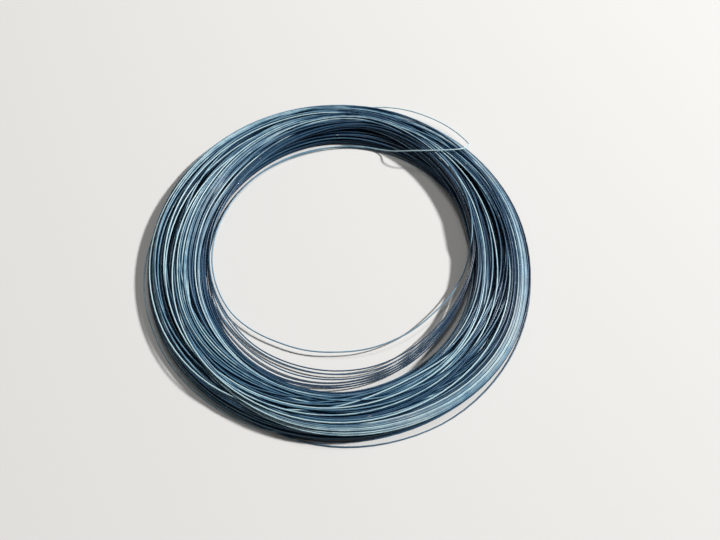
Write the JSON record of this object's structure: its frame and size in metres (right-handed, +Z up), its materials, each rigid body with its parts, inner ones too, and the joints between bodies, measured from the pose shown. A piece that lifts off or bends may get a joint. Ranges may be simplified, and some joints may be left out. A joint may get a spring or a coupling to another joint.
{
  "type": "coil of fencing wire",
  "caption": "Untied coil of blue-coated steel fencing wire lying flat: a low domed ring of packed turns, loose turns in its eye and outside it, the free end hooked over the crown.",
  "frame": {"origin": "on the floor, under the middle of the coil with its loose turns", "axes": "+Z up along the eye, +X to the right and +Y away from the side where the loose turns cross the eye"},
  "size_m": [0.7297, 0.7361, 0.0458],
  "materials": {
    "blue_coated_wire": "satin, dusty"
  },
  "bodies": {
    "root": {"wire_coil": "blue_coated_wire"}
  },
  "joints": []
}
